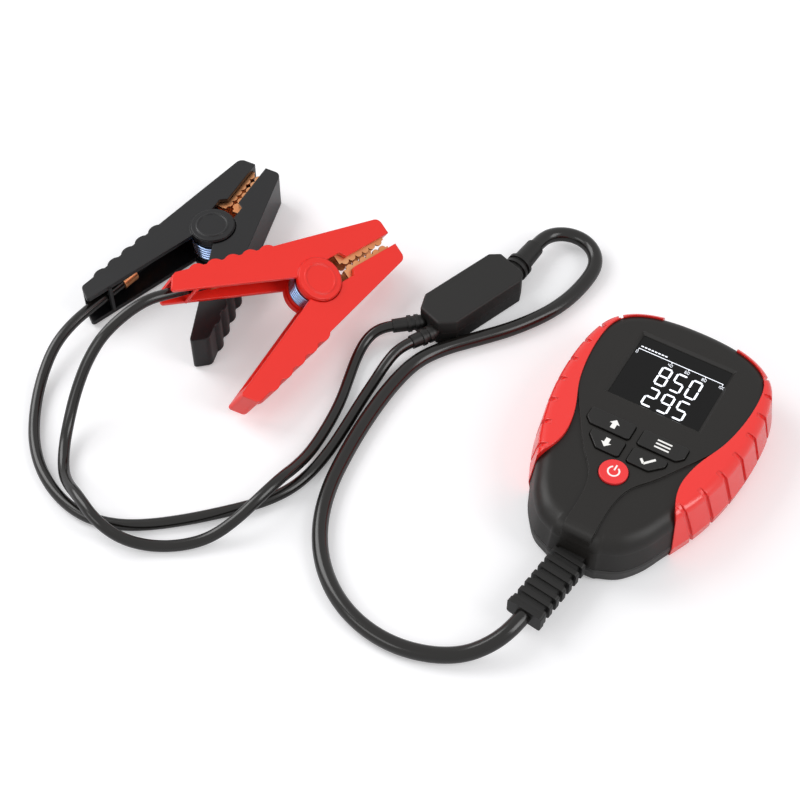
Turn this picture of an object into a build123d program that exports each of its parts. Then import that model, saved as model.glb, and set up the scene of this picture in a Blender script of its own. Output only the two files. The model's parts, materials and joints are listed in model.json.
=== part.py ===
from build123d import *
import os
from math import atan2, cos, degrees, hypot, pi, radians, sin, tan

# Hand-held battery tester: a waisted case with two rubber side grips, a main cable,
# a splitter and two clamp leads, lying as it is laid down on a table.
# Frame: millimetres, +X right, +Y to the top end of the case, +Z up out of its face,
# origin on the table under the middle of the case.

os.makedirs("parts", exist_ok=True)

# ---- case ----
HALF_W = 40.5            # half width over the side grips
HALF_L = 56.6            # half length of the case
CASE_T = 24.0            # height of the case's face
SEAM_Z = 8.0             # joint between rear and front cover
RIDGE_Z = 6.5            # height at which the sides are widest
BASE_DRAW = 1.1          # how far the sides draw in from the ridge to the table
FACE_DRAW = 2.6          # how far the sides draw in from the ridge to the face
FLANK_DROP = 0.9         # step from the face down to the flanks beside the keys
FACE_R = 4.5             # rounding of the raised face's outer edge
FLANK_R = 7.0            # rounding of the flanks' outer edge
BASE_R = 1.2             # rounding of the rear cover's edge
WALL = 2.0               # case wall
SEAM_GROOVE = 0.4        # width and depth of the groove along the joint
FIT = 0.25               # running clearance round keys
SNUG = 0.05              # clearance of pieces that are clipped or laid in place

# ---- side grips ----
GRIP_T = 2.4             # thickness of the rubber at the side
GRIP_PROUD = 0.6         # how far the rubber stands above the plastic
GRIP_RIBS = 8            # grooves along each grip
GRIP_GROOVE = 1.7        # groove width
GRIP_DEPTH = 1.0         # groove depth
GRIP_BITE = 6.0          # how far in from the widest line the grooves may reach

# ---- display ----
WIN_W, WIN_H = 39.4, 34.0    # window at the face
WIN_Y = 24.6                 # window centre
WIN_BEVEL = 1.3              # bevel round the window, also the wall left above the lens
LENS_T = 1.5
LCD_T = 2.0
BOARD_T = 1.6
BOARD_Z = 11.4               # underside of the main board

# ---- keys ----
KEY_IN, KEY_OUT = 1.6, 19.7  # inner and outer edge of the upper keys from the centre line
KEY_LOW_OUT = 15.2           # outer edge of the lower keys
KEY_H = 7.4                  # key height on the face
KEY_ROW_1, KEY_ROW_2 = -5.4, -14.4
KEY_RISE = 0.9               # key top above the face
KEY_TRAVEL = 0.6
KEY_FLANGE = 0.5             # hidden flange round each key
POWER_Y, POWER_R = -24.7, 5.4
SWITCH_H = 5.0               # tact switch height over the board

# ---- cord run ----
MAIN_D = 6.0
LEAD_D = 4.4
RELIEF_Z = 9.0               # height of the cable where it leaves the case
RELIEF_W, RELIEF_T = 13.6, 7.4
RELIEF_RIBS = 7
RELIEF_PITCH = 4.1
RELIEF_LEAN = 7.0            # degrees that the relief leans over to the cable's side

# ---- splitter ----
SPL_L, SPL_W, SPL_T = 44.5, 19.6, 13.0
SPL_X, SPL_Y, SPL_TURN = -91.8, 35.4, 70.3
SPL_WALL = 1.8
BOOT_Z = SPL_T / 2
LEAD_ROOT_Y = 3.7            # each lead boot's distance from the splitter's centre line
MAIN_BOOT = (16.2, 15.4)     # length and turn of the boot on the main cable
RED_BOOT = (11.2, 151.0)
BLACK_BOOT = (9.6, 171.0)
BOOT_OUT = 1.4               # centre of each boot's bend, outside the splitter's end
MAIN_PLUG_R, LEAD_PLUG_R = 3.6, 2.3
PLUG_IN = 3.0                # how far each boot's plug reaches into the splitter

# ---- clamps ----
CLIP_W = 8.0             # half width along the pivot
CLIP_T = 1.8             # side wall
CLIP_BACK = 2.2          # back wall
BOSS_R = 9.3             # pivot disc
PIN_R = 2.0
EAR_GAP = 0.25           # running clearance between the levers
JAW_X = 39.4             # pivot to jaw tip
JAW_GAP = 2.6            # half gap between the closed jaws' plastic
BLACK_AT, BLACK_TURN = (-198.4, 7.9), 93.6
RED_AT, RED_TURN = (-145.4, 0.8), 71.9
RED_TILT, RED_TILT_AXIS = 30.0, 86.3
BLACK_HEIGHT, RED_HEIGHT = 8.9, 16.90    # pivot heights

# ---- clamp profile, in the clamp's own frame: +X to the jaw, +Y to lever A, +Z along the pivot ----
BACK_A = (JAW_X, 9.8)                         # back of the jaw
BACK_B = (-52.4, 29.7)                        # back of the handle end
HANDLE_TIP = (-57.2, 23.7)                    # inner corner of the handle end
HANDLE_ROOT = (-12.0, 6.5)                    # where the handle leaves the pivot
NOTCH = [(16.5, JAW_GAP), (14.6, 5.4), (8.0, 5.4)]
WAVES, WAVE_PITCH, WAVE_R = 5, 7.6, 4.6
WAVE_FROM, WAVE_PROUD = -13.0, 1.15           # first wave, height of each over the back
BOSS_PROUD = 0.6
SPRING_R, SPRING_WIRE = 8.4, 0.7              # coil radius, wire radius
SPRING_TURNS, SPRING_PITCH = 5, 1.36
CORD_END_X = -32.0                            # end of the cord inside lever A's handle
EAR_IN = 4.4                                  # inner face of lever B's ears
WALL_B_IN = 6.0                               # inner face of lever B's side walls
CONTACT_T = 0.8
CONTACT_W = 5.75
CORD_INSET = CLIP_BACK + SNUG + CONTACT_T + LEAD_D / 2 + 0.1
TEETH, TOOTH_PITCH = 6, 3.6
TOOTH_GAP = 0.25                              # tooth tips to the middle of the closed jaws
WALL_A_IN = WALL_B_IN + EAR_GAP
EAR_R = BOSS_R - 0.7
# The case outline: right half, from the top end to the flat bottom end, at full size.
OUTLINE = [
    (0, 56.6), (12, 56.0), (22, 53.9), (30, 50.0), (35.7, 44.0), (38.8, 35.5), (40.5, 20.0),
    (40.2, 8.0), (38.8, -3.0), (36.5, -13.5), (33.4, -23.0), (30.2, -30.5), (27.4, -36.8),
    (24.6, -43.2), (20.6, -49.2), (15.8, -53.4), (10.4, -55.8), (4.5, -56.6),
]
# Inner edge of the right grip on the face, from the top end down.
GRIP_EDGE = [
    (15.5, 50.6), (23.5, 48.2), (28.8, 44.3), (31.3, 39.4), (32.4, 32.5), (32.4, 24.0),
    (31.2, 13.8), (28.9, 4.6), (25.8, -3.4), (23.7, -11.4), (23.2, -17.2), (24.0, -22.8),
    (26.2, -28.2), (29.6, -33.0),
]
# Edge of the raised face, from where it meets the grip down to the cable end.
FACE_EDGE = [
    (32.0, 14.5), (29.3, 5.0), (26.2, -0.6), (23.5, -5.2), (19.0, -12.4), (13.0, -21.6),
    (8.6, -27.3), (6.3, -34.0), (5.6, -42.0), (5.6, -56.0),
]

# Cord routes, chosen by hand: centre points from the case to the splitter and from the
# splitter to each clamp.
MAIN_ROUTE = [
    (-3.50, -85.29, 9.0), (-4.35, -92.23, 9.0), (-8.5, -100.5, 6.6), (-15.5, -107.5, 3.9),
    (-26.0, -113.0, 3.05), (-39.0, -116.0, 3.05), (-53.0, -114.8, 3.05), (-66.5, -109.3, 3.05),
    (-78.5, -99.5, 3.05), (-87.5, -86.5, 3.05), (-93.3, -71.0, 3.05), (-96.2, -53.5, 3.05),
    (-97.9, -35.0, 3.05), (-98.0, -16.5, 3.05), (-96.0, -1.5, 3.05), (-89.8, 10.0, 3.05),
    (-81.2, 20.2, 3.05), (-71.4, 32.0, 3.05), (-63.2, 45.5, 3.05), (-58.9, 57.0, 3.05),
    (-56.9, 68.5, 3.2), (-56.7, 79.0, 3.8), (-60.2, 85.4, 4.5), (-66.1, 88.9, 5.1),
    (-73.0, 88.9, 5.6), (-79.0, 85.4, 6.1), (-82.18, 79.62, 6.5), (-82.61, 73.86, 6.5),
]
RED_ROUTE = [
    (-111.67, 6.99, 6.5), (-115.40, 3.71, 6.5), (-118.0, -2.5, 4.6), (-117.6, -10.5, 2.6),
    (-114.8, -21.0, 2.25), (-111.3, -33.0, 2.25), (-109.2, -46.0, 2.25), (-107.9, -60.0, 3.2),
    (-107.4, -71.0, 7.0), (-107.6, -80.0, 11.0), (-109.6, -92.0, 11.0), (-113.0, -102.5, 7.5),
    (-118.5, -111.5, 3.2), (-126.0, -119.3, 2.25), (-136.0, -125.5, 2.25), (-146.0, -129.8, 5.5),
    (-156.0, -130.3, 11.0), (-168.0, -124.8, 11.0), (-176.5, -120.4, 6.4), (-183.5, -115.0, 2.9),
    (-189.6, -106.5, 3.4), (-193.4, -97.5, 7.6), (-195.2, -88.5, 15.5), (-195.0, -79.0, 24.8),
    (-192.4, -69.0, 33.0), (-186.02, -53.86, 38.27), (-180.31, -43.23, 35.95),
    (-175.55, -33.46, 32.99), (-170.54, -23.70, 30.47),
]
BLACK_ROUTE = [
    (-100.92, 3.44, 6.5), (-103.55, -1.37, 6.5), (-105.1, -8.5, 4.2), (-105.2, -17.5, 2.25),
    (-104.5, -29.0, 2.25), (-103.3, -42.0, 2.25), (-102.4, -55.0, 2.25), (-102.9, -67.5, 2.25),
    (-105.6, -78.5, 2.25), (-111.5, -88.5, 2.25), (-120.0, -98.0, 2.25), (-131.5, -109.5, 2.25),
    (-143.0, -119.0, 2.25), (-153.5, -124.8, 2.25), (-165.0, -127.3, 2.25), (-178.0, -125.2, 2.25),
    (-191.0, -119.0, 2.25), (-202.0, -109.6, 2.25), (-211.0, -97.5, 2.25), (-217.6, -84.5, 3.9),
    (-221.0, -71.5, 7.6), (-221.38, -59.68, 8.9), (-219.53, -47.54, 9.4),
    (-217.84, -36.41, 8.9), (-216.16, -25.28, 8.9),
]


def write(name, *solids):
    """Write one node: its solids in one STEP file named after it."""
    flat = [s for shape in solids for s in shape.solids()]
    export_step(Compound(children=flat, label=name), f"parts/{name}.step")


def sized(points):
    """Outline points at the case's present width and length."""
    return [(x * HALF_W / 40.5, y * HALF_L / 56.6) for x, y in points]


def drawn(points, inset):
    """Outline points drawn in towards the middle of the case."""
    fx, fy = (HALF_W - inset) / HALF_W, (HALF_L - inset) / HALF_L
    return [(x * fx, y * fy) for x, y in sized(points)]


def outline_face(inset, z):
    """The whole case outline, drawn in by inset, as a face at height z."""
    right = [Vector(x, y, z) for x, y in drawn(OUTLINE, inset)]
    left = [Vector(-p.X, p.Y, z) for p in right]
    edges = [
        Spline(*right, tangents=[(1, 0, 0), (-1, 0, 0)]),
        Line(right[-1], left[-1]),
        Spline(*left, tangents=[(-1, 0, 0), (1, 0, 0)]),
    ]
    return make_face(Wire(edges))


def side_inset(z):
    """How far the case's side stands in from its widest line at height z."""
    if z < RIDGE_Z:
        return BASE_DRAW * (1 - z / RIDGE_Z)
    return FACE_DRAW * (z - RIDGE_Z) / (CASE_T - RIDGE_Z)


def hull(inset, low, high):
    """A block with the case's outline: widest at the ridge, drawn in above and below."""
    heights = [low, RIDGE_Z, high] if low < RIDGE_Z < high else [low, high]
    return loft([outline_face(inset + side_inset(z), z) for z in heights], ruled=True)


def rounded_hull(inset, high, top_r):
    """The hull from the table up, with its rear edge bevelled and its face edge rounded."""
    shoulder = high - top_r
    wall_inset = inset + side_inset(shoulder)
    rear = loft([outline_face(inset + side_inset(0) + BASE_R, 0), outline_face(inset + side_inset(BASE_R), BASE_R)])
    arc = []
    for step in range(7):
        angle = radians(15 * step)
        arc.append(outline_face(wall_inset + top_r * (1 - cos(angle)), shoulder + top_r * sin(angle)))
    return rear + hull(inset, BASE_R, shoulder) + loft(arc)


def mirrored(shape):
    return mirror(shape, Plane.YZ)


def grip_region():
    """Prism over the area that the right grip covers."""
    edge = sized(GRIP_EDGE)
    far = HALF_W + 20
    top, tip = (edge[0][0], HALF_L + 20), (far, edge[-1][1] - 4)
    lines = Curve() + [
        Line(top, edge[0]), Spline(*edge), Line(edge[-1], tip),
        Line(tip, (far, top[1])), Line((far, top[1]), top),
    ]
    return extrude(make_face(Wire(lines.edges())), CASE_T + 10)


def grip_core():
    """The plastic that the grips lie on, inside their thickness."""
    return hull(GRIP_PROUD + GRIP_T, 0, CORE_TOP)


def face_prism():
    """Prism over the raised face: everything inside its lower edges."""
    right = sized(FACE_EDGE)
    left = [(-x, y) for x, y in right]
    far_x, far_y = HALF_W + 10, HALF_L + 10
    bottom_r, bottom_l = (right[-1][0], -far_y), (left[-1][0], -far_y)
    side_r, side_l = (far_x, right[0][1] + 6), (-far_x, right[0][1] + 6)
    edges = [
        Spline(*right), Line(right[-1], bottom_r), Line(bottom_r, bottom_l),
        Line(bottom_l, left[-1]), Spline(*left), Line(left[0], side_l),
        Line(side_l, (-far_x, far_y)), Line((-far_x, far_y), (far_x, far_y)),
        Line((far_x, far_y), side_r), Line(side_r, right[0]),
    ]
    return extrude(make_face(Wire(edges)), CASE_T + 10)


def box(x0, x1, y0, y1, z0, z1):
    return Pos((x0 + x1) / 2, (y0 + y1) / 2, (z0 + z1) / 2) * Box(x1 - x0, y1 - y0, z1 - z0)


def tube(r, z0, z1, x=0.0, y=0.0):
    return Pos(x, y, (z0 + z1) / 2) * Cylinder(r, z1 - z0)


# ---- derived heights and places ----
CORE_TOP = CASE_T - 1.7                       # plastic under the grip's face flange
CAVITY_TOP = CORE_TOP - 1.8
CAVITY_IN = GRIP_PROUD + GRIP_T + WALL
LENS_TOP = CASE_T - WIN_BEVEL
LENS_W, LENS_H = WIN_W + 2.4, WIN_H + 2.4
LCD_TOP = LENS_TOP - LENS_T - SNUG
HOLDER_TOP = LCD_TOP - LCD_T - SNUG
BOARD_TOP = BOARD_Z + BOARD_T
FLANGE_TOP = CAVITY_TOP - SNUG
SCREWS = [(25.0, 40.5), (-25.0, 40.5), (17.0, -36.0), (-17.0, -36.0)]
BOSS_OUT, SCREW_R = 3.4, 1.25
RELIEF_Y = -HALF_L                            # outer face of the case at the cable
RELIEF_CORE_W, RELIEF_CORE_T = RELIEF_W - 3.6, RELIEF_T - 1.8


def key_shape(inner, outer, y, corner, grow=0.0):
    """Face of a right-hand key: rounded, its lower outer corner cut off."""
    x0, x1 = inner - grow, outer + grow
    y0, y1 = y - KEY_H / 2 - grow, y + KEY_H / 2 + grow
    cut = corner + grow * 0.6
    outline = Polyline((x0, y0), (x1 - cut, y0), (x1, y0 + cut), (x1, y1), (x0, y1), close=True)
    face = make_face(outline.edges())
    return fillet(face.vertices(), 1.2 + grow / 2)


def power_shape(grow=0.0):
    return Pos(0, POWER_Y) * Circle(POWER_R + grow)


def key_faces():
    """Each key's name and a function that gives its face, grown by a clearance."""
    upper = lambda grow=0.0: key_shape(KEY_IN, KEY_OUT, KEY_ROW_1, 2.4, grow)
    lower = lambda grow=0.0: key_shape(KEY_IN, KEY_LOW_OUT, KEY_ROW_2, 4.6, grow)
    return {
        "key_up": lambda grow=0.0: mirror(upper(grow), Plane.YZ),
        "key_down": lambda grow=0.0: mirror(lower(grow), Plane.YZ),
        "key_upper_right": upper,
        "key_lower_right": lower,
        "key_power": power_shape,
    }


def key_centres():
    mid_up, mid_low = (KEY_IN + KEY_OUT) / 2, (KEY_IN + KEY_LOW_OUT) / 2
    return {
        "key_up": (-mid_up, KEY_ROW_1), "key_down": (-mid_low, KEY_ROW_2),
        "key_upper_right": (mid_up, KEY_ROW_1), "key_lower_right": (mid_low, KEY_ROW_2),
        "key_power": (0.0, POWER_Y),
    }


def relief_slot(grow):
    """Opening through the case's end wall for the neck of the strain relief."""
    w, t = RELIEF_CORE_W / 2 + grow, RELIEF_CORE_T / 2 + grow
    return box(-w, w, RELIEF_Y - 5, RELIEF_Y + 12, RELIEF_Z - t, RELIEF_Z + t)


def case_shell():
    """The plastic case in one piece, with the grip beds and the cavity cut."""
    face = rounded_hull(GRIP_PROUD, CASE_T, FACE_R) & face_prism()
    flanks = rounded_hull(GRIP_PROUD, CASE_T - FLANK_DROP, FLANK_R)
    body = face + flanks
    region = grip_region()
    bed = (region + mirrored(region)) - grip_core()
    cavity = hull(CAVITY_IN, WALL, CAVITY_TOP)
    return body - bed - cavity


def seam_ring():
    outer = hull(-5, SEAM_Z - SEAM_GROOVE / 2, SEAM_Z + SEAM_GROOVE / 2)
    inner = hull(GRIP_PROUD + SEAM_GROOVE, SEAM_Z - SEAM_GROOVE / 2, SEAM_Z + SEAM_GROOVE / 2)
    return outer - inner


def front_cover(shell):
    cover = shell - box(-100, 100, -100, 100, -10, SEAM_Z) - seam_ring()
    for x, y in SCREWS:
        post = tube(BOSS_OUT, BOARD_TOP, CAVITY_TOP + 1, x, y)
        spigot = tube(BOSS_OUT - 1.0, SEAM_Z, BOARD_TOP, x, y)
        cover += post + spigot
        cover -= tube(SCREW_R, SEAM_Z - 1, BOARD_TOP + 5, x, y)
    cover -= window_cut()
    for face in key_faces().values():
        cover -= extrude(Pos(0, 0, CAVITY_TOP - 1) * face(FIT), 8)
    cover -= relief_slot(SNUG)
    return cover


def window_cut():
    """Bevelled window, the opening through to the lens and the lens's pocket."""
    top = Pos(0, WIN_Y, CASE_T + 0.01) * Rectangle(WIN_W, WIN_H)
    low = Pos(0, WIN_Y, LENS_TOP) * Rectangle(WIN_W - 2 * WIN_BEVEL, WIN_H - 2 * WIN_BEVEL)
    bevel = loft([low, top])
    x, y = LENS_W / 2 + SNUG, LENS_H / 2 + SNUG
    return bevel + box(-x, x, WIN_Y - y, WIN_Y + y, CAVITY_TOP - 1, LENS_TOP)


def rear_cover(shell):
    cover = shell & box(-100, 100, -100, 100, -10, SEAM_Z)
    cover -= seam_ring()
    for x, y in SCREWS:
        cover += tube(BOSS_OUT, 1.0, SEAM_Z, x, y)
        cover -= tube(SCREW_R + 0.15, -1, SEAM_Z + 1, x, y)
        cover -= tube(2.5, -1, 2.2, x, y)
    return cover - relief_slot(SNUG)


def case_screws():
    """Four pan-head screws put in from the rear cover into the front cover's posts."""
    one = tube(2.4, 0.5, 2.2) + tube(SCREW_R, 2.2, BOARD_TOP + 3)
    one -= box(-1.6, 1.6, -0.3, 0.3, 0, 1.2) + box(-0.3, 0.3, -1.6, 1.6, 0, 1.2)
    return [Pos(x, y, 0) * one for x, y in SCREWS]


def side_grip():
    """Right-hand rubber grip, ribbed across its side."""
    blank = rounded_hull(0, CASE_T + GRIP_PROUD, FACE_R - 0.5) & grip_region()
    grip = blank - grip_core()
    smooth = rounded_hull(GRIP_DEPTH, CASE_T + GRIP_PROUD, FACE_R)
    side = Spline(*drawn(OUTLINE, 0)[2:12])
    for i in range(GRIP_RIBS):
        share = (i + 0.75) / (GRIP_RIBS + 0.4)
        at, along = side @ share, side % share
        turn = degrees(atan2(along.Y, along.X))
        groove = Box(GRIP_GROOVE, 2 * GRIP_BITE, 60)
        groove = Pos(at.X, at.Y, RIDGE_Z) * Rot(0, 0, turn) * Rot(0, 14, 0) * groove
        grip -= groove - smooth
    return grip


def display_pieces():
    lens = box(-LENS_W / 2, LENS_W / 2, WIN_Y - LENS_H / 2, WIN_Y + LENS_H / 2,
               LENS_TOP - LENS_T, LENS_TOP)
    w, h = WIN_W / 2, WIN_H / 2
    lcd = box(-w, w, WIN_Y - h, WIN_Y + h, LCD_TOP - LCD_T, LCD_TOP)
    holder = box(-w - 1, w + 1, WIN_Y - h - 1, WIN_Y + h + 1, BOARD_TOP, HOLDER_TOP)
    holder -= box(-w + 2, w - 2, WIN_Y - h + 2, WIN_Y + h - 2, BOARD_TOP - 1, HOLDER_TOP - 1.5)
    write("display_lens", lens)
    write("lcd_panel", lcd)
    write("lcd_holder", holder)


def keys():
    """Key caps with a flange under the face and a stem down to each switch."""
    tops = key_faces()
    for name, (x, y) in key_centres().items():
        cap = extrude(Pos(0, 0, CAVITY_TOP - 0.5) * tops[name](), CASE_T + KEY_RISE - CAVITY_TOP + 0.5)
        cap = fillet(cap.faces().sort_by(Axis.Z)[-1].edges(), 0.35)
        cap += extrude(Pos(0, 0, FLANGE_TOP - 0.9) * tops[name](KEY_FLANGE), 0.9)
        stem_low = BOARD_TOP + SWITCH_H + SNUG
        cap += tube(1.5, stem_low, FLANGE_TOP, x, y)
        write(name, cap)


def electronics():
    """Board and what is soldered to it."""
    board = hull(CAVITY_IN + 1.2, BOARD_Z, BOARD_TOP)
    board -= box(-60, 60, -HALF_L, -HALF_L + 13, 0, 30)
    for x, y in SCREWS:
        board -= tube(BOSS_OUT - 1.0 + SNUG, 0, 30, x, y)
    write("main_board", board)
    switch = box(-3, 3, -3, 3, BOARD_TOP, BOARD_TOP + 3.4) + tube(1.7, BOARD_TOP, BOARD_TOP + SWITCH_H - KEY_TRAVEL)
    write("tact_switches", *[Pos(x, y, 0) * switch for x, y in key_centres().values()])
    chip = box(-7, 7, 4, 18, BOARD_Z - 1.6, BOARD_Z)
    write("microcontroller", chip)
    resistor = Pos(0, -4.5, BOARD_Z - 3.2) * Rot(0, 90, 0) * Cylinder(3.2, 24)
    resistor += box(-10.6, -9.8, -5.4, -3.6, BOARD_Z - 3.2, BOARD_Z)
    resistor += box(9.8, 10.6, -5.4, -3.6, BOARD_Z - 3.2, BOARD_Z)
    write("load_resistor", resistor)
    write("buzzer", tube(6.0, BOARD_Z - 5.5, BOARD_Z, 19, 26) - tube(1.0, BOARD_Z - 6, BOARD_Z - 3, 19, 26))
    terminal = box(-7.5, 7.5, -42.5, -34.5, BOARD_TOP, BOARD_TOP + 6)
    for i in range(4):
        terminal -= tube(1.2, BOARD_TOP + 2, BOARD_TOP + 8, -5.4 + 3.6 * i, -38.5)
    write("cable_terminal", terminal)


def strain_relief():
    """Ribbed rubber sleeve: a flange inside the wall, a neck through it, ribs outside."""
    w, t = RELIEF_CORE_W, RELIEF_CORE_T
    inner = RELIEF_Y + CAVITY_IN + 1.6
    neck = box(-w / 2, w / 2, RELIEF_Y - 1, inner + 2.4, RELIEF_Z - t / 2, RELIEF_Z + t / 2)
    keep = box(-w / 2 - 1.2, w / 2 + 1.2, inner, inner + 2.0, RELIEF_Z - t / 2 - 0.8, RELIEF_Z + t / 2 + 0.8)
    length = RELIEF_RIBS * RELIEF_PITCH
    sleeve = Box(w, length, t)
    for i in range(RELIEF_RIBS):
        y = length / 2 - 1.2 - i * RELIEF_PITCH
        rib = Box(RELIEF_W, RELIEF_PITCH * 0.5, RELIEF_T)
        sleeve += Pos(0, y, 0) * fillet(rib.edges().filter_by(Axis.Y), 1.2)
    end = Box(RELIEF_W + 0.6, 2.2, RELIEF_T + 0.4)
    sleeve += Pos(0, -length / 2 + 1.1, 0) * fillet(end.edges().filter_by(Axis.Y), 1.2)
    out = Pos(0, RELIEF_Y - 0.2, RELIEF_Z) * Rot(0, 0, -RELIEF_LEAN) * Pos(0, -length / 2, 0)
    return neck + keep + out * sleeve


def cord_tube(name, points, diameter):
    """Round tube on straight runs joined by tangent arcs; prints length and radii."""
    pts = [Vector(*p) for p in points]
    runs = [(b - a) for a, b in zip(pts, pts[1:])]
    radii = []
    for a, b in zip(runs, runs[1:]):
        half = radians(a.get_angle(b)) / 2
        radii.append(0.45 * min(a.length, b.length) / tan(half))
    path = FilletPolyline(*pts, radius=radii)
    start = Plane(origin=pts[0], z_dir=runs[0])
    solid = sweep(start * Circle(diameter / 2), path=path)
    area = pi * diameter ** 2 / 4
    print(f"{name}: length {path.length:.1f} mm, volume ratio {solid.volume / (area * path.length):.4f}")
    print("   radii", [round(r, 1) for r in radii])
    write(name, solid)


def boot(length, root_r, end_r, collar):
    """Tapered cable boot along +X: two collars at its root, a plug into the splitter."""
    body = Rot(0, 90, 0) * Pos(0, 0, length / 2) * Cone(root_r, end_r, length)
    for x in (1.4, 4.4):
        body += Pos(x, 0, 0) * Rot(0, 90, 0) * Cylinder(root_r + collar, 1.5)
    return body


def splitter_place():
    return Pos(SPL_X, SPL_Y, 0) * Rot(0, 0, SPL_TURN)


def splitter_outline(inset):
    """Eight-sided plan of the splitter, its lead end to -X."""
    x, y = SPL_L / 2 - inset, SPL_W / 2 - inset
    lead_y, main_y = SPL_W * 0.27 - inset * 0.6, SPL_W * 0.34 - inset * 0.6
    pts = [(-x, -lead_y), (-x + 6.3, -y), (x - 4.0, -y), (x, -main_y),
           (x, main_y), (x - 4.0, y), (-x + 6.3, y), (-x, lead_y)]
    return make_face(Polyline(*pts, close=True).edges())


def splitter():
    """Two clipped half shells, the splices inside and the three boots."""
    block = extrude(splitter_outline(0), SPL_T)
    block = fillet(block.edges().filter_by(Axis.Z), 1.2)
    block = fillet(block.faces().sort_by(Axis.Z)[-1].edges(), 1.0)
    block = chamfer(block.faces().sort_by(Axis.Z)[0].edges(), 0.6)
    shell = block - extrude(Pos(0, 0, SPL_WALL) * splitter_outline(SPL_WALL), SPL_T - 2 * SPL_WALL)
    place = splitter_place()
    boots = splitter_boots()
    holes = Pos(SPL_L / 2, 0, BOOT_Z) * Rot(0, 90, 0) * Cylinder(MAIN_PLUG_R + SNUG, 8)
    for y in (LEAD_ROOT_Y, -LEAD_ROOT_Y):
        holes += Pos(-SPL_L / 2, y, BOOT_Z) * Rot(0, 90, 0) * Cylinder(LEAD_PLUG_R + SNUG, 8)
    shell -= holes
    low = box(-60, 60, -40, 40, -1, BOOT_Z)
    write("splitter_top", place * (shell - low))
    write("splitter_bottom", place * (shell & low))
    for name, piece in boots.items():
        write(name, place * piece)
    write("splice_joints", place * splices())


def splices():
    """Soldered joints between the main cable's cores and the leads' cores, on a bar."""
    sleeve = Rot(0, 90, 0) * Cylinder(1.9, 12)
    body = box(-5, 5, -LEAD_ROOT_Y, LEAD_ROOT_Y, BOOT_Z - 0.5, BOOT_Z + 0.5)
    lead_from, main_to = -SPL_L / 2 + PLUG_IN, SPL_L / 2 - PLUG_IN
    for y in (LEAD_ROOT_Y, -LEAD_ROOT_Y):
        body += Pos(-6, y, BOOT_Z) * sleeve
        for x0, x1, at in ((lead_from, -11.0, y), (0.0, main_to, y / 2)):
            body += Pos((x0 + x1) / 2, at, BOOT_Z) * Rot(0, 90, 0) * Cylinder(1.3, x1 - x0)
    return body


def splitter_boots():
    """The boots in the splitter's own frame, each with a round plug through its wall."""
    half = SPL_L / 2
    block = box(-half - SNUG, half + SNUG, -40, 40, -5, 40)
    found = {}
    for name, (length, turn), end, y, radii in (
        ("main_boot", MAIN_BOOT, 1, 0.0, (4.5, 3.9, 0.9, MAIN_PLUG_R)),
        ("red_lead_boot", RED_BOOT, -1, LEAD_ROOT_Y, (3.0, 2.8, 0.45, LEAD_PLUG_R)),
        ("black_lead_boot", BLACK_BOOT, -1, -LEAD_ROOT_Y, (3.0, 2.8, 0.45, LEAD_PLUG_R)),
    ):
        root_r, end_r, collar, plug_r = radii
        one = Pos(end * (half + BOOT_OUT), y, BOOT_Z) * Rot(0, 0, turn) * boot(length, root_r, end_r, collar)
        one += Pos(end * (half + BOOT_OUT), y, BOOT_Z) * Sphere(root_r)
        plug_length = PLUG_IN + BOOT_OUT
        plug = Pos(end * (half + (BOOT_OUT - PLUG_IN) / 2), y, BOOT_Z) * Rot(0, 90, 0) * Cylinder(plug_r, plug_length)
        found[name] = (one - block) + plug
    return found


def back_line(x, inset=0.0):
    """Height of the lever's back at x, or of a line inset below it."""
    slope = (BACK_A[1] - BACK_B[1]) / (BACK_A[0] - BACK_B[0])
    return BACK_A[1] + slope * (x - BACK_A[0]) - inset * hypot(1, slope)


def lever_face():
    """Side view of lever A: jaw, handle with waves for the fingers, pivot disc."""
    pts = [(JAW_X, JAW_GAP), *NOTCH, (0, 2), HANDLE_ROOT, HANDLE_TIP, BACK_B, BACK_A]
    face = make_face(Polyline(*pts, close=True).edges())
    face = fillet(face.vertices().sort_by_distance(Vector(*BACK_A))[0], 3.0)
    face = fillet(face.vertices().sort_by_distance(Vector(*BACK_B))[0], 2.4)
    face = fillet(face.vertices().sort_by_distance(Vector(*HANDLE_TIP))[0], 1.2)
    for i in range(WAVES):
        x = WAVE_FROM - i * WAVE_PITCH
        face += Pos(x, back_line(x) - WAVE_R + WAVE_PROUD) * Circle(WAVE_R)
    return face


def channel_face(x_end):
    """Side view of the hollow under the lever's back, open towards the other lever."""
    x_jaw = JAW_X - CLIP_BACK
    pts = [(x_jaw, -30), (x_jaw, back_line(x_jaw, CLIP_BACK)), (x_end, back_line(x_end, CLIP_BACK)), (x_end, -30)]
    return make_face(Polyline(*pts, close=True).edges())


def slab(face, half):
    return extrude(face, half, both=True)


def pin_hole():
    return Cylinder(PIN_R + 0.04, 40)


def lever_a():
    """Outer lever: its ears and pivot discs lie outside lever B's; its handle is open ended."""
    side = lever_face() + Circle(BOSS_R)
    body = slab(side, CLIP_W) + slab(Circle(BOSS_R), CLIP_W + BOSS_PROUD)
    body -= slab(channel_face(-70), WALL_A_IN)
    rib = Pos(-47, back_line(-47, CORD_INSET + LEAD_D / 2 + 0.8)) * Rectangle(1.6, 1.2)
    return body + slab(rib, WALL_A_IN + 0.5) - pin_hole()


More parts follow.
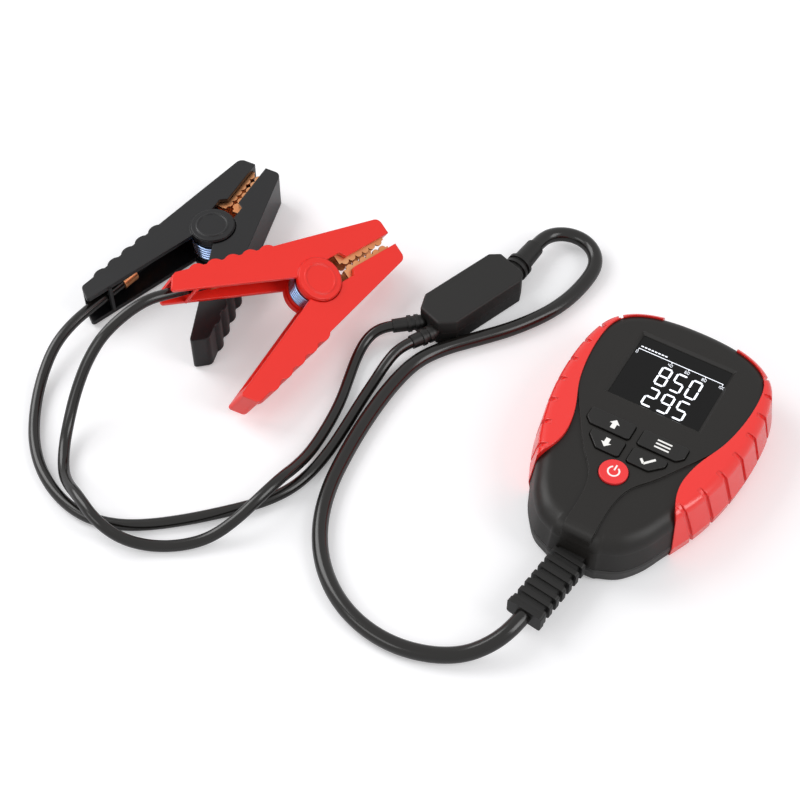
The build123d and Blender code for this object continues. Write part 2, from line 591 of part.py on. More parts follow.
def lever_b():
    """Inner lever, the mirror of A: its walls stop round A's disc, its ears run inside it."""
    side = mirror(lever_face(), Plane.XZ)
    channel = mirror(channel_face(BACK_B[0] + 1.4), Plane.XZ)
    body = slab(side, CLIP_W) - slab(channel, WALL_B_IN)
    body -= slab(Circle(BOSS_R + EAR_GAP + 0.15), CLIP_W + 5)
    ears = Circle(EAR_R) + (side & Circle(BOSS_R + 3.0))
    body += slab(ears, WALL_B_IN) - slab(Circle(60), EAR_IN)
    return body - pin_hole()


def contact_face():
    """Side view of one toothed contact plate: a strip with a row of rounded teeth."""
    tooth_r = TOOTH_PITCH / 2
    x0, top, root = 13.0, 5.6, TOOTH_GAP + tooth_r - 0.5
    face = Pos((x0 + 37.0) / 2, (top + root) / 2) * Rectangle(37.0 - x0, top - root)
    for i in range(TEETH):
        face += Pos(x0 + 3.2 + i * TOOTH_PITCH, root + 0.5) * Circle(tooth_r)
    return face - Pos(x0 + 12, top + 10) * Rectangle(60, 20)


def contact():
    """Toothed copper channel that lines a jaw, in lever A's place."""
    plates = slab(contact_face(), CONTACT_W) - Cylinder(1000, 2 * (CONTACT_W - CONTACT_T))
    floor = Pos(25.0, 5.6 + CONTACT_T / 2, 0) * Box(24.0, CONTACT_T, 2 * CONTACT_W)
    return plates + floor


def contact_tail():
    """Strap from lever A's copper along its back to the barrel crimped on the cord."""
    slope = degrees(atan2(BACK_A[1] - BACK_B[1], BACK_A[0] - BACK_B[0]))
    x0, x1 = CORD_END_X - 6.0, 26.0
    middle = (x0 + x1) / 2
    length = (x1 - x0) * hypot(1, tan(radians(slope)))
    seat = CLIP_BACK + SNUG + CONTACT_T / 2
    strap = Pos(middle, back_line(middle, seat), 0) * Rot(0, 0, slope) * Box(length, CONTACT_T, 4.0)
    riser = box(x1 - 1.0, x1, 6.0, back_line(x1, seat), -2.0, 2.0)
    barrel = Cylinder(LEAD_D / 2 + 0.6, 7.0) - Cylinder(LEAD_D / 2 + 0.02, 8.0)
    at = CORD_END_X - 2.5
    barrel = Pos(at, back_line(at, CORD_INSET), 0) * Rot(0, 0, slope) * Rot(0, 90, 0) * barrel
    return strap + riser + barrel


def pivot_pin():
    """Riveted pin, its domed ends level with the discs."""
    pin = Cylinder(PIN_R, 2 * (CLIP_W + BOSS_PROUD) + 0.6)
    return chamfer(pin.edges(), 0.3)


def spring():
    """Torsion spring round the pivot, one leg on each lever's back wall."""
    body = Part()
    for i in range(SPRING_TURNS):
        body += Pos(0, 0, (i - (SPRING_TURNS - 1) / 2) * SPRING_PITCH) * Torus(SPRING_R, SPRING_WIRE)
    z = (SPRING_TURNS - 1) / 2 * SPRING_PITCH
    foot = (-28.0, back_line(-28.0, CLIP_BACK + SNUG + SPRING_WIRE))
    for turn in (1, -1):
        start, end = Vector(0, turn * SPRING_R, turn * z), Vector(foot[0], turn * foot[1], turn * z)
        middle = Plane(origin=(start + end) / 2, z_dir=end - start)
        body += middle * Cylinder(SPRING_WIRE, (end - start).length)
    return body


def clip_place(at, turn, tilt, tilt_axis, height):
    """Place of a clamp: turned about Z, then tilted about a level axis through its pivot."""
    return Pos(*at, height) * Rot(0, 0, tilt_axis) * Rot(tilt, 0, 0) * Rot(0, 0, turn - tilt_axis)


def clips():
    """Two equal clamps: the black one flat on its side, the red one leaning on it."""
    pieces = {
        "lever_a": lever_a(), "lever_b": lever_b(),
        "contact_a": contact() + contact_tail(), "contact_b": mirror(contact(), Plane.XZ),
        "pin": pivot_pin(), "spring": spring(),
    }
    places = {
        "black": clip_place(BLACK_AT, BLACK_TURN, 0, 0, BLACK_HEIGHT),
        "red": clip_place(RED_AT, RED_TURN, RED_TILT, RED_TILT_AXIS, RED_HEIGHT),
    }
    for colour, place in places.items():
        for name, piece in pieces.items():
            write(f"{colour}_{name}", place * piece)
        print(colour, "pivot", place.position, "axis", Plane(place).z_dir)


def case():
    shell = case_shell()
    write("front_cover", front_cover(shell))
    write("rear_cover", rear_cover(shell))
    grip = side_grip()
    write("right_grip", grip)
    write("left_grip", mirrored(grip))
    write("case_screws", *case_screws())
    display_pieces()
    keys()
    electronics()
    write("strain_relief", strain_relief())


def cords():
    cord_tube("main_cable", MAIN_ROUTE, MAIN_D)
    cord_tube("red_lead", RED_ROUTE, LEAD_D)
    cord_tube("black_lead", BLACK_ROUTE, LEAD_D)


case()
splitter()
clips()
cords()
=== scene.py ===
# %% [markdown]
# # A hand-held battery tester
# The object is a black case with two red rubber side grips, a display and five keys. A cable
# leaves its lower end, runs to a small splitter and goes on as two leads, each with a sprung
# clamp. The construction is already made: it is loaded as a fixed frame of named nodes in
# metres. This lesson gives that frame its finishes, its flexible cords and its printed marks.

# %% Load the frame
import json
import math

import bpy
from mathutils import Matrix, Vector


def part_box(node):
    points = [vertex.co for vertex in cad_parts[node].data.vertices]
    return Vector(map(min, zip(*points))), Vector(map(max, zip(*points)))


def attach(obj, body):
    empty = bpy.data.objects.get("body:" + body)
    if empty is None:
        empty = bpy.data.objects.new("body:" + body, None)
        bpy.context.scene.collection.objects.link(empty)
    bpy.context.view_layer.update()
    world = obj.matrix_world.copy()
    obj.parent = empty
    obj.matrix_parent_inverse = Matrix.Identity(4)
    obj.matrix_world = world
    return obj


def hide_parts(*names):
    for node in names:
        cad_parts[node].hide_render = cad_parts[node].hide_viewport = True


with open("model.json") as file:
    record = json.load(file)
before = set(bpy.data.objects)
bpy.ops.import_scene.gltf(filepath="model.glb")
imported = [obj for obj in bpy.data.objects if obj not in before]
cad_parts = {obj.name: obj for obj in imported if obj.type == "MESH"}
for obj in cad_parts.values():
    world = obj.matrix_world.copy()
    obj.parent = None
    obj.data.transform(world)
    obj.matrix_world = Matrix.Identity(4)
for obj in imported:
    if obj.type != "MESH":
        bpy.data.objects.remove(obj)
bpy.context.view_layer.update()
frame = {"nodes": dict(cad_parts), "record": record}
node = frame["nodes"]
MM = 0.001
ROOT = "case"
print("nodes in the frame:", len(node))

# %% [markdown]
# ## Camera
# The camera looks down on the table at a little over fifty degrees, from beyond the case's
# lower right side. A longish lens keeps the far clamps nearly as large as the near case. It is
# made first, because what lies outside its view decides how far the cords may spread.

# %% Camera
CAMERA_AT = Vector((0.1099, -0.3619, 0.5148))
LOOKS_AT = Vector((-0.0926, -0.0194, 0.0))
camera = bpy.data.objects.new("camera", bpy.data.cameras.new("camera"))
camera.data.lens = 74.8
camera.data.sensor_width = 36.0
camera.location = CAMERA_AT
camera.rotation_euler = (LOOKS_AT - CAMERA_AT).to_track_quat("-Z", "Y").to_euler()
bpy.context.collection.objects.link(camera)
bpy.context.scene.camera = camera
bpy.context.scene.view_settings.view_transform = "Standard"

# %% [markdown]
# ## Cords
# A cable has no shape of its own: it is a length of something springy that lies as it was put
# down. A poly line would bend like wire, so each cord is one NURBS spline of order 3 whose
# control points are its route, with a round bevel. The points are in millimetres, from the
# place where the cord leaves its sleeve to the place where it ends. The bevel is one metre deep
# and each point scales it to the cord's radius, because an object's box grows by the radius of
# its points, which is one metre unless it is set.

# %% Cord routes
MAIN_D = 6.0
LEAD_D = 4.4
MAIN_ROUTE = [
    (-3.50, -85.29, 9.0), (-4.35, -92.23, 9.0), (-8.5, -100.5, 6.6), (-15.5, -107.5, 3.9),
    (-26.0, -113.0, 3.05), (-39.0, -116.0, 3.05), (-53.0, -114.8, 3.05), (-66.5, -109.3, 3.05),
    (-78.5, -99.5, 3.05), (-87.5, -86.5, 3.05), (-93.3, -71.0, 3.05), (-96.2, -53.5, 3.05),
    (-97.9, -35.0, 3.05), (-98.0, -16.5, 3.05), (-96.0, -1.5, 3.05), (-89.8, 10.0, 3.05),
    (-81.2, 20.2, 3.05), (-71.4, 32.0, 3.05), (-63.2, 45.5, 3.05), (-58.9, 57.0, 3.05),
    (-56.9, 68.5, 3.2), (-56.7, 79.0, 3.8), (-60.2, 85.4, 4.5), (-66.1, 88.9, 5.1),
    (-73.0, 88.9, 5.6), (-79.0, 85.4, 6.1), (-82.18, 79.62, 6.5), (-82.61, 73.86, 6.5),
]
RED_ROUTE = [
    (-111.67, 6.99, 6.5), (-115.40, 3.71, 6.5), (-118.0, -2.5, 4.6), (-117.6, -10.5, 2.6),
    (-114.8, -21.0, 2.25), (-111.3, -33.0, 2.25), (-109.2, -46.0, 2.25), (-107.9, -60.0, 3.2),
    (-107.4, -71.0, 7.0), (-107.6, -80.0, 11.0), (-109.6, -92.0, 11.0), (-113.0, -102.5, 7.5),
    (-118.5, -111.5, 3.2), (-126.0, -119.3, 2.25), (-136.0, -125.5, 2.25), (-146.0, -129.8, 5.5),
    (-156.0, -130.3, 11.0), (-168.0, -124.8, 11.0), (-176.5, -120.4, 6.4), (-183.5, -115.0, 2.9),
    (-189.6, -106.5, 3.4), (-193.4, -97.5, 7.6), (-195.2, -88.5, 15.5), (-195.0, -79.0, 24.8),
    (-192.4, -69.0, 33.0), (-186.02, -53.86, 38.27), (-180.31, -43.23, 35.95),
    (-175.55, -33.46, 32.99), (-170.54, -23.70, 30.47),
]
BLACK_ROUTE = [
    (-100.92, 3.44, 6.5), (-103.55, -1.37, 6.5), (-105.1, -8.5, 4.2), (-105.2, -17.5, 2.25),
    (-104.5, -29.0, 2.25), (-103.3, -42.0, 2.25), (-102.4, -55.0, 2.25), (-102.9, -67.5, 2.25),
    (-105.6, -78.5, 2.25), (-111.5, -88.5, 2.25), (-120.0, -98.0, 2.25), (-131.5, -109.5, 2.25),
    (-143.0, -119.0, 2.25), (-153.5, -124.8, 2.25), (-165.0, -127.3, 2.25), (-178.0, -125.2, 2.25),
    (-191.0, -119.0, 2.25), (-202.0, -109.6, 2.25), (-211.0, -97.5, 2.25), (-217.6, -84.5, 3.9),
    (-221.0, -71.5, 7.6), (-221.38, -59.68, 8.9), (-219.53, -47.54, 9.4),
    (-217.84, -36.41, 8.9), (-216.16, -25.28, 8.9),
]


# %% Make the cords
def cord(name, route, diameter, stands_for):
    """One round cord along its route. The frame's node that it stands for is hidden."""
    curve = bpy.data.curves.new(name, "CURVE")
    curve.dimensions = "3D"
    curve.bevel_depth = 1.0
    curve.bevel_resolution = 8
    curve.resolution_u = 10
    curve.use_fill_caps = True
    spline = curve.splines.new("NURBS")
    spline.points.add(len(route) - 1)
    for point, at in zip(spline.points, route):
        point.co = (*(Vector(at) * MM), 1.0)
        point.radius = diameter / 2 * MM
    spline.order_u = 3
    spline.use_endpoint_u = True
    piece = bpy.data.objects.new(name, curve)
    bpy.context.collection.objects.link(piece)
    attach(piece, ROOT)
    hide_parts(stands_for)
    return piece


cords = [
    cord("cable", MAIN_ROUTE, MAIN_D, "main_cable"),
    cord("lead_to_red_clamp", RED_ROUTE, LEAD_D, "red_lead"),
    cord("lead_to_black_clamp", BLACK_ROUTE, LEAD_D, "black_lead"),
]
print("cords:", [piece.name for piece in cords])


# %% [markdown]
# ## Floor and light
# The object lies on a plain pale table under three soft boxes and an even sky. They stand to
# the sides and in front, where the level faces don't mirror them into the camera, so black
# plastic stays black and its rounded edges show long soft highlights. The lamps stay at the
# level at which a colour renders about as it is written. The floor's own whiteness, not more
# light, makes the ground.

# %% Node helper and colours
def linear(hex_colour):
    """A six-digit sRGB hex colour as linear red, green, blue and alpha."""
    values = [int(hex_colour[i:i + 2], 16) / 255 for i in (0, 2, 4)]
    return (*[v / 12.92 if v <= 0.04045 else ((v + 0.055) / 1.055) ** 2.4 for v in values], 1.0)


def add(tree, kind, inputs=None, **settings):
    """Add one node. Each input is a plain value or another node's output."""
    made = tree.nodes.new(kind)
    for name, value in settings.items():
        setattr(made, name, value)
    for key, value in (inputs or {}).items():
        if isinstance(value, bpy.types.NodeSocket):
            tree.links.new(value, made.inputs[key])
        else:
            made.inputs[key].default_value = value
    return made


# %% World, lamps and floor
SKY_LIGHT = 0.46
SKY_SEEN = 0.85


def make_world():
    """An even sky that looks brighter to the camera and in reflections than it shines."""
    world = bpy.data.worlds.new("sky")
    world.use_nodes = True
    tree = world.node_tree
    tree.nodes.clear()
    path = add(tree, "ShaderNodeLightPath")
    seen = add(tree, "ShaderNodeMath", {0: path.outputs["Is Camera Ray"], 1: path.outputs["Is Glossy Ray"]},
               operation="MAXIMUM")
    through = add(tree, "ShaderNodeMath", {0: seen.outputs[0], 1: path.outputs["Is Transmission Ray"]},
                  operation="MAXIMUM")
    level = add(tree, "ShaderNodeMapRange", {"Value": through.outputs[0], "To Min": SKY_LIGHT,
                                             "To Max": SKY_SEEN})
    sky = add(tree, "ShaderNodeBackground", {"Color": (1, 1, 1, 1), "Strength": level.outputs["Result"]})
    add(tree, "ShaderNodeOutputWorld", {"Surface": sky.outputs[0]})
    bpy.context.scene.world = world


def soft_box(name, at, aim, size, watts):
    """A rectangular area lamp that faces its aim."""
    lamp = bpy.data.lights.new(name, "AREA")
    lamp.shape = "RECTANGLE"
    lamp.size, lamp.size_y = size
    lamp.energy = watts
    holder = bpy.data.objects.new(name, lamp)
    holder.location = at
    holder.rotation_euler = (Vector(aim) - Vector(at)).to_track_quat("-Z", "Y").to_euler()
    bpy.context.collection.objects.link(holder)


FLOOR_HALF = 4.0
FLOOR_DROP = 0.0002
FLOOR_GLOW = 0.24


def make_floor():
    """A large level sheet just under the object, a little brighter to the camera."""
    mesh = bpy.data.meshes.new("floor")
    half = FLOOR_HALF
    corners = [(-half, -half, 0), (half, -half, 0), (half, half, 0), (-half, half, 0)]
    mesh.from_pydata(corners, [], [(0, 1, 2, 3)])
    floor = bpy.data.objects.new("floor", mesh)
    floor.location.z = -FLOOR_DROP
    bpy.context.collection.objects.link(floor)
    paper = bpy.data.materials.new("matte_paper_backdrop")
    paper.use_nodes = True
    tree = paper.node_tree
    tree.nodes.clear()
    matte = add(tree, "ShaderNodeBsdfDiffuse", {"Color": linear("EEEEF0")})
    glow = add(tree, "ShaderNodeEmission", {"Color": linear("FFFFFF"), "Strength": FLOOR_GLOW})
    path = add(tree, "ShaderNodeLightPath")
    both = add(tree, "ShaderNodeAddShader", {0: matte.outputs[0], 1: glow.outputs[0]})
    seen = add(tree, "ShaderNodeMixShader", {0: path.outputs["Is Camera Ray"], 1: matte.outputs[0],
                                             2: both.outputs[0]})
    add(tree, "ShaderNodeOutputMaterial", {"Surface": seen.outputs[0]})
    mesh.materials.append(paper)


make_world()
soft_box("key_box", (-1.05, -0.05, 0.85), (-0.09, 0.0, 0.0), (0.7, 0.9), 8.0)
soft_box("side_box", (0.95, 0.05, 0.75), (-0.05, 0.0, 0.0), (0.5, 0.9), 5.5)
soft_box("front_box", (-0.5, -0.95, 0.8), (-0.1, 0.0, 0.0), (0.8, 0.4), 2.5)
make_floor()


# %% [markdown]
# ## Moulded plastics
# Almost everything here is injection moulded. ABS comes off a spark-eroded mould with a fine
# even grain that breaks its highlight into a satin sheen; soft TPE comes off a polished mould
# and shines. One function holds what they share: a colour that drifts a little, grain bump of
# a real size, and edges rounded in the shading, because no moulding has a sharp one.

# %% Moulded finish
def moulded(name, colour, rough, grain_mm, grain_depth_mm, edge_mm=0.25, drift=0.12, **sockets):
    """A moulded plastic. grain_mm is the size of its grain, edge_mm its edge radius."""
    finish = bpy.data.materials.new(name)
    finish.use_nodes = True
    tree = finish.node_tree
    tree.nodes.clear()
    place = add(tree, "ShaderNodeTexCoord")
    cloud = add(tree, "ShaderNodeTexNoise", {"Vector": place.outputs["Object"], "Scale": 45.0, "Detail": 3.0})
    darker = tuple(c * (1 - drift) for c in linear(colour)[:3]) + (1.0,)
    tone = add(tree, "ShaderNodeMix", {0: cloud.outputs["Fac"], 6: darker, 7: linear(colour)},
               data_type="RGBA")
    sheen = add(tree, "ShaderNodeMapRange", {"Value": cloud.outputs["Fac"], "To Min": rough * 0.88,
                                             "To Max": rough * 1.12})
    grain = add(tree, "ShaderNodeTexNoise", {"Vector": place.outputs["Object"],
                                             "Scale": 1000.0 / grain_mm / 2, "Detail": 2.0})
    round_edge = add(tree, "ShaderNodeBevel", {"Radius": edge_mm * MM}, samples=6)
    bump = add(tree, "ShaderNodeBump", {"Height": grain.outputs["Fac"], "Distance": grain_depth_mm * MM,
                                        "Strength": 0.6, "Normal": round_edge.outputs[0]})
    shader = add(tree, "ShaderNodeBsdfPrincipled", {"Base Color": tone.outputs[2],
                                                    "Roughness": sheen.outputs["Result"],
                                                    "Normal": bump.outputs[0], **sockets})
    add(tree, "ShaderNodeOutputMaterial", {"Surface": shader.outputs[0]})
    return finish


satin_abs = moulded("satin_moulded_ABS", "1C1A18", 0.42, 0.30, 0.012, 0.4, **{"Specular IOR Level": 0.34})
matte_abs = moulded("matte_moulded_ABS_rear", "2A2928", 0.52, 0.35, 0.02, 0.35)
gloss_tpe = moulded("gloss_moulded_TPE_red", "F62A24", 0.22, 0.8, 0.006, 0.7, 0.04, **{"Coat Weight": 0.35})
key_abs = moulded("satin_ABS_key_caps", "1B1A19", 0.40, 0.30, 0.010, 0.3, **{"Specular IOR Level": 0.36})
red_key_abs = moulded("satin_ABS_red_key", "F5383A", 0.36, 0.30, 0.008, 0.3, 0.04)
splitter_abs = moulded("spark_eroded_ABS_splitter", "151413", 0.56, 0.40, 0.04, 0.4,
                       **{"Specular IOR Level": 0.4})
soft_pvc = moulded("moulded_PVC_sleeves", "121110", 0.44, 0.30, 0.02, 0.3, **{"Specular IOR Level": 0.4})
red_pp = moulded("moulded_polypropylene_red", "FA2A1E", 0.30, 0.6, 0.008, 0.6, 0.05)
black_pp = moulded("moulded_polypropylene_black", "121214", 0.33, 0.6, 0.010, 0.6,
                    **{"Specular IOR Level": 0.4})
white_abs = moulded("white_moulded_ABS", "DADAD6", 0.5, 0.3, 0.01)
black_epoxy = moulded("black_moulded_epoxy", "161616", 0.5, 0.2, 0.01)
green_mask = moulded("green_solder_mask", "0F5A2A", 0.35, 0.5, 0.004)
ceramic = moulded("glazed_white_ceramic", "D6D2C6", 0.4, 0.3, 0.01)

# %% [markdown]
# ## Cable jacket
# The jacket is extruded PVC: it has no grain across it, only faint long ripples, and a wet
# looking shine. A low roughness with a broad, very shallow bump gives the long highlight that
# wavers a little along the cable.

# %% Extruded jacket
jacket = moulded("extruded_PVC_jacket", "141210", 0.20, 5.0, 0.02, 0.2, 0.15)
for piece in cords:
    piece.data.materials.append(jacket)


# %% [markdown]
# ## Metals and the window
# The toothed plates are pressed copper, warm and a little tarnished in patches. The springs
# are zinc-plated wire, which looks blue white. The window is black-backed acrylic: nothing of
# it shows but a faint reflection, so a plain black with a low specular level is enough.

# %% Metals and acrylic
def pressed_metal(name, bright, dull, rough, patch_mm):
    """A metal whose colour and roughness drift in patches of a given size."""
    finish = bpy.data.materials.new(name)
    finish.use_nodes = True
    tree = finish.node_tree
    tree.nodes.clear()
    place = add(tree, "ShaderNodeTexCoord")
    patch = add(tree, "ShaderNodeTexNoise", {"Vector": place.outputs["Object"], "Scale": 500.0 / patch_mm,
                                             "Detail": 4.0})
    tone = add(tree, "ShaderNodeMix", {0: patch.outputs["Fac"], 6: linear(bright), 7: linear(dull)},
               data_type="RGBA")
    polish = add(tree, "ShaderNodeMapRange", {"Value": patch.outputs["Fac"], "To Min": rough * 0.7,
                                              "To Max": rough * 1.3})
    round_edge = add(tree, "ShaderNodeBevel", {"Radius": 0.15 * MM}, samples=6)
    shader = add(tree, "ShaderNodeBsdfPrincipled", {"Base Color": tone.outputs[2], "Metallic": 1.0,
                                                    "Roughness": polish.outputs["Result"],
                                                    "Normal": round_edge.outputs[0]})
    add(tree, "ShaderNodeOutputMaterial", {"Surface": shader.outputs[0]})
    return finish


copper = pressed_metal("pressed_copper", "F2B888", "C87846", 0.36, 6.0)
zinc = pressed_metal("zinc_plated_wire", "C4D6F0", "7FA0D8", 0.24, 4.0)
nickel = pressed_metal("nickel_plated_steel", "C9C8C4", "9E9D9A", 0.3, 3.0)
acrylic = moulded("black_backed_acrylic", "030303", 0.10, 8.0, 0.001, 0.1, 0.0,
                   **{"Specular IOR Level": 0.25})

# %% [markdown]
# ## Finishes on the frame's nodes
# The frame's nodes keep their shapes; each gets the finish of the real piece.

# %% Assign finishes
FINISHES = {
    satin_abs: ["front_cover"], matte_abs: ["rear_cover"], gloss_tpe: ["right_grip", "left_grip"],
    acrylic: ["display_lens", "lcd_panel"],
    key_abs: ["key_up", "key_down", "key_upper_right", "key_lower_right"],
    red_key_abs: ["key_power"], splitter_abs: ["splitter_top", "splitter_bottom"],
    soft_pvc: ["strain_relief", "main_boot", "red_lead_boot", "black_lead_boot"],
    red_pp: ["red_lever_a", "red_lever_b"], black_pp: ["black_lever_a", "black_lever_b"],
    copper: ["red_contact_a", "red_contact_b", "black_contact_a", "black_contact_b", "splice_joints"],
    zinc: ["red_spring", "black_spring"], nickel: ["case_screws", "red_pin", "black_pin"],
    white_abs: ["lcd_holder"], green_mask: ["main_board", "cable_terminal"], ceramic: ["load_resistor"],
    black_epoxy: ["tact_switches", "microcontroller", "buzzer"],
}
for finish, names in FINISHES.items():
    for name in names:
        node[name].data.materials.clear()
        node[name].data.materials.append(finish)
print("finished nodes:", sum(len(names) for names in FINISHES.values()))


# %% [markdown]
# ## Printed and lit marks
# The digits, the scale and the symbols are flat shapes. Each is built as thin plates just
# over the surface that carries it, because a plate keeps a crisp edge from any distance, and
# a painted texture would need an image.

# %% Plates
def plates(name, outlines, top, thickness, finish, body):
    """Flat closed outlines in millimetres, made into one mesh of thin plates."""
    vertices, faces = [], []
    for outline in outlines:
        first, count = len(vertices), len(outline)
        for height in (top - thickness, top):
            vertices += [(x * MM, y * MM, height * MM) for x, y in outline]
        faces.append(tuple(first + i for i in reversed(range(count))))
        faces.append(tuple(first + count + i for i in range(count)))
        for i in range(count):
            j = (i + 1) % count
            faces.append((first + i, first + j, first + count + j, first + count + i))
    mesh = bpy.data.meshes.new(name)
    mesh.from_pydata(vertices, [], faces)
    mesh.materials.append(finish)
    piece = bpy.data.objects.new(name, mesh)
    bpy.context.collection.objects.link(piece)
    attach(piece, body)
    return piece


def lit(name, colour, strength):
    """A lit or printed white with a little light of its own. On the lit segments it is their own light; on
    the printed white it is a painted glow that keeps the ink clean.
    """
    finish = bpy.data.materials.new(name)
    finish.use_nodes = True
    shader = finish.node_tree.nodes["Principled BSDF"]
    shader.inputs["Base Color"].default_value = linear(colour)
    shader.inputs["Roughness"].default_value = 0.6
    shader.inputs["Emission Color"].default_value = linear(colour)
    shader.inputs["Emission Strength"].default_value = strength
    return finish


segment_light = lit("display_segments", "F4F8FF", 0.75)
# The key print's small emission is a painted glow: the ink itself gives no light.
white_ink_painted_glow = lit("white_pad_printing_painted_glow", "F2F1EE", 0.12)
PLATE_T = 0.03
PLATE_LIFT = 0.04
LENS_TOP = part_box("display_lens")[1][2] / MM
KEY_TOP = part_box("key_up")[1][2] / MM
print(f"lens top {LENS_TOP:.2f} mm, key top {KEY_TOP:.2f} mm")


# %% Seven-segment digits
SEGMENTS = {"0": "abcdef", "2": "abged", "4": "fgbc", "5": "afgcd", "6": "afgedc", "8": "abcdefg",
            "9": "abcdfg", "1": "bc"}


def digit(character, x, y, width, height, stroke):
    """Outlines of one digit with its lower left corner at x, y."""
    half, gap, middle = stroke / 2, stroke * 0.18, y + height / 2
    right, top = x + width, y + height

    def bar(x0, y0, x1, y1):
        across = y0 == y1
        along = (half, 0) if across else (0, half)
        over = (0, half) if across else (half, 0)
        step = (gap, 0) if across else (0, gap)
        a, b = (x0 + step[0], y0 + step[1]), (x1 - step[0], y1 - step[1])
        return [a, (a[0] + along[0] - over[0], a[1] + along[1] - over[1]),
                (b[0] - along[0] - over[0], b[1] - along[1] - over[1]), b,
                (b[0] - along[0] + over[0], b[1] - along[1] + over[1]),
                (a[0] + along[0] + over[0], a[1] + along[1] + over[1])]

    x, right, y, top = x + half, right - half, y + half, top - half
    bars = {"a": (x, top, right, top), "b": (right, middle, right, top), "c": (right, y, right, middle),
            "d": (x, y, right, y), "e": (x, y, x, middle), "f": (x, middle, x, top),
            "g": (x, middle, right, middle)}
    return [bar(*bars[segment]) for segment in SEGMENTS[character]]


def number(text, x, y, width, height, pitch, stroke):
    return [outline for i, character in enumerate(text)
            for outline in digit(character, x + i * pitch, y, width, height, stroke)]


DIGIT_W, DIGIT_H, DIGIT_PITCH, DIGIT_STROKE = 4.7, 9.5, 6.25, 0.8
DIGIT_X, UPPER_Y, LOWER_Y = -5.9, 20.9, 9.6
readings = number("850", DIGIT_X, UPPER_Y, DIGIT_W, DIGIT_H, DIGIT_PITCH, DIGIT_STROKE)
readings += number("295", DIGIT_X, LOWER_Y, DIGIT_W, DIGIT_H, DIGIT_PITCH, DIGIT_STROKE)
plates("display_readings", readings, LENS_TOP + PLATE_LIFT, PLATE_T, segment_light, ROOT)


# %% Percentage scale
def rectangle(x0, y0, x1, y1):
    return [(x0, y0), (x1, y0), (x1, y1), (x0, y1)]


SCALE_Y, SCALE_X0, SCALE_X1 = 33.8, -17.5, 17.4
scale = [rectangle(SCALE_X0, SCALE_Y - 0.14, SCALE_X1, SCALE_Y + 0.14)]
for share, label in ((0.0, "0"), (0.4, "40"), (0.6, "60"), (0.8, "80"), (1.0, "100")):
    x = SCALE_X0 + share * (SCALE_X1 - SCALE_X0)
    scale.append(rectangle(x - 0.12, SCALE_Y - 0.75, x + 0.12, SCALE_Y))
    scale += number(label, x - 0.5 * len(label), SCALE_Y - 2.45, 0.8, 1.4, 1.05, 0.16)
for i in range(8):
    x = SCALE_X0 + 0.3 + 1.42 * i
    scale.append(rectangle(x, SCALE_Y + 1.15, x + 1.0, SCALE_Y + 1.65))
plates("display_scale", scale, LENS_TOP + PLATE_LIFT, PLATE_T, segment_light, ROOT)


# %% Key symbols
def arrow(x, y, size, turn):
    """A block arrow that points up, or down when turn is -1."""
    shape = [(0, 2.2), (2.1, 0.1), (0.95, 0.1), (0.95, -2.2), (-0.95, -2.2), (-0.95, 0.1), (-2.1, 0.1)]
    points = [(x + px * size, y + py * size * turn) for px, py in shape]
    return points if turn > 0 else points[::-1]


def ring_pieces(x, y, radius, stroke, start, end, steps=40):
    """An arc of a ring, as short flat pieces between two angles in degrees."""
    pieces = []
    for i in range(steps):
        a, b = (math.radians(start + (end - start) * (i + k) / steps) for k in (0, 1))
        inner, outer = radius - stroke / 2, radius + stroke / 2
        pieces.append([(x + inner * math.cos(a), y + inner * math.sin(a)),
                       (x + outer * math.cos(a), y + outer * math.sin(a)),
                       (x + outer * math.cos(b), y + outer * math.sin(b)),
                       (x + inner * math.cos(b), y + inner * math.sin(b))])
    return pieces


def stroke_line(points, width):
    """Flat pieces along a bent line."""
    pieces = []
    for (x0, y0), (x1, y1) in zip(points, points[1:]):
        length = math.hypot(x1 - x0, y1 - y0)
        nx, ny = -(y1 - y0) / length * width / 2, (x1 - x0) / length * width / 2
        pieces.append([(x0 - nx, y0 - ny), (x1 - nx, y1 - ny), (x1 + nx, y1 + ny), (x0 + nx, y0 + ny)])
    return pieces


def key_centre(name):
    low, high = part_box(name)
    return (low[0] + high[0]) / 2 / MM, (low[1] + high[1]) / 2 / MM


up_x, up_y = key_centre("key_up")
down_x, down_y = key_centre("key_down")
menu_x, menu_y = key_centre("key_upper_right")
tick_x, tick_y = key_centre("key_lower_right")
power_x, power_y = key_centre("key_power")
INK_TOP = KEY_TOP + PLATE_LIFT
MENU_HALF, MENU_BAR, MENU_STEP = 2.9, 0.34, 1.6
menu = [rectangle(menu_x - MENU_HALF, menu_y + dy - MENU_BAR, menu_x + MENU_HALF, menu_y + dy + MENU_BAR)
        for dy in (-MENU_STEP, 0, MENU_STEP)]
TICK = [(-2.4, -0.1), (-0.7, -1.8), (2.6, 1.9)]
tick = stroke_line([(tick_x + x, tick_y + y) for x, y in TICK], 0.95)
power = ring_pieces(power_x, power_y, 2.1, 0.62, 120, 420)
power.append(rectangle(power_x - 0.31, power_y + 0.5, power_x + 0.31, power_y + 3.0))
MARKS = {
    "mark_up": ([arrow(up_x + 1.6, up_y, 0.95, 1)], "key_up_cap"),
    "mark_down": ([arrow(down_x + 0.4, down_y, 0.95, -1)], "key_down_cap"),
    "mark_menu": (menu, "key_upper_right_cap"),
    "mark_tick": (tick, "key_lower_right_cap"),
    "mark_power": (power, "key_power_cap"),
}
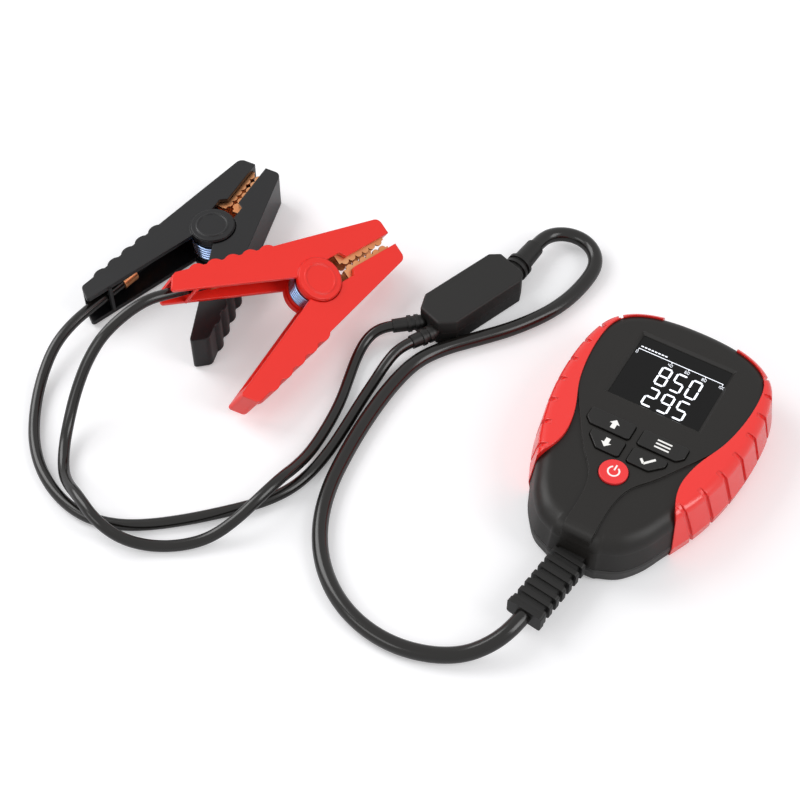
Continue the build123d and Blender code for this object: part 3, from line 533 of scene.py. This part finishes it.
for name, (outlines, body) in MARKS.items():
    plates(name, outlines, INK_TOP, PLATE_T, white_ink_painted_glow, body)


# %% [markdown]
# ## Pivot covers
# Each clamp turns on a riveted pin under a round moulded cover with a raised ring. The cover
# is turned, so its half profile is spun round the pin's axis, which the frame's joints give.

# %% Spin the covers
COVER_PROFILE = [(0.0, 0.4), (5.8, 0.4), (6.0, 0.65), (6.6, 0.65), (6.8, 0.4), (8.8, 0.36), (9.1, 0.0)]


COVER_STEPS = 72


def pivot_cover(name, middle, axis, offset, finish):
    """A disc with a raised ring, its back offset along the pivot's axis."""
    steps = COVER_STEPS
    vertices, faces = [], []
    for i in range(steps):
        angle = 2 * math.pi * i / steps
        for radius, height in COVER_PROFILE[1:]:
            vertices.append((radius * math.cos(angle), radius * math.sin(angle), height))
    rows = len(COVER_PROFILE) - 1
    vertices += [(0, 0, COVER_PROFILE[0][1]), (0, 0, 0)]
    for i in range(steps):
        j = (i + 1) % steps
        for k in range(rows - 1):
            faces.append((i * rows + k, i * rows + k + 1, j * rows + k + 1, j * rows + k))
        faces.append((len(vertices) - 2, i * rows, j * rows))
        faces.append((len(vertices) - 1, j * rows + rows - 1, i * rows + rows - 1))
    mesh = bpy.data.meshes.new(name)
    turn = axis.to_track_quat("Z", "Y").to_matrix().to_4x4()
    place = Matrix.Translation(middle + axis * offset) @ turn @ Matrix.Scale(MM, 4)
    mesh.from_pydata([place @ Vector(v) for v in vertices], [], faces)
    mesh.materials.append(finish)
    piece = bpy.data.objects.new(name, mesh)
    bpy.context.collection.objects.link(piece)
    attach(piece, ROOT)


joints = frame["record"]["behaviour"]["joints"]
hinges = {joint["name"]: joint for joint in joints if joint["type"] == "hinge"}
COVER_SEAT = 8.6
for colour, finish in (("black", black_pp), ("red", red_pp)):
    hinge = hinges[f"{colour}_clamp_hinge"]
    up = -Vector(hinge["axis"]).normalized()
    middle = Vector(hinge["pos_m"])
    pivot_cover(f"{colour}_pivot_cover", middle, up, COVER_SEAT * MM, finish)

# %% Update the scene
bpy.context.view_layer.update()
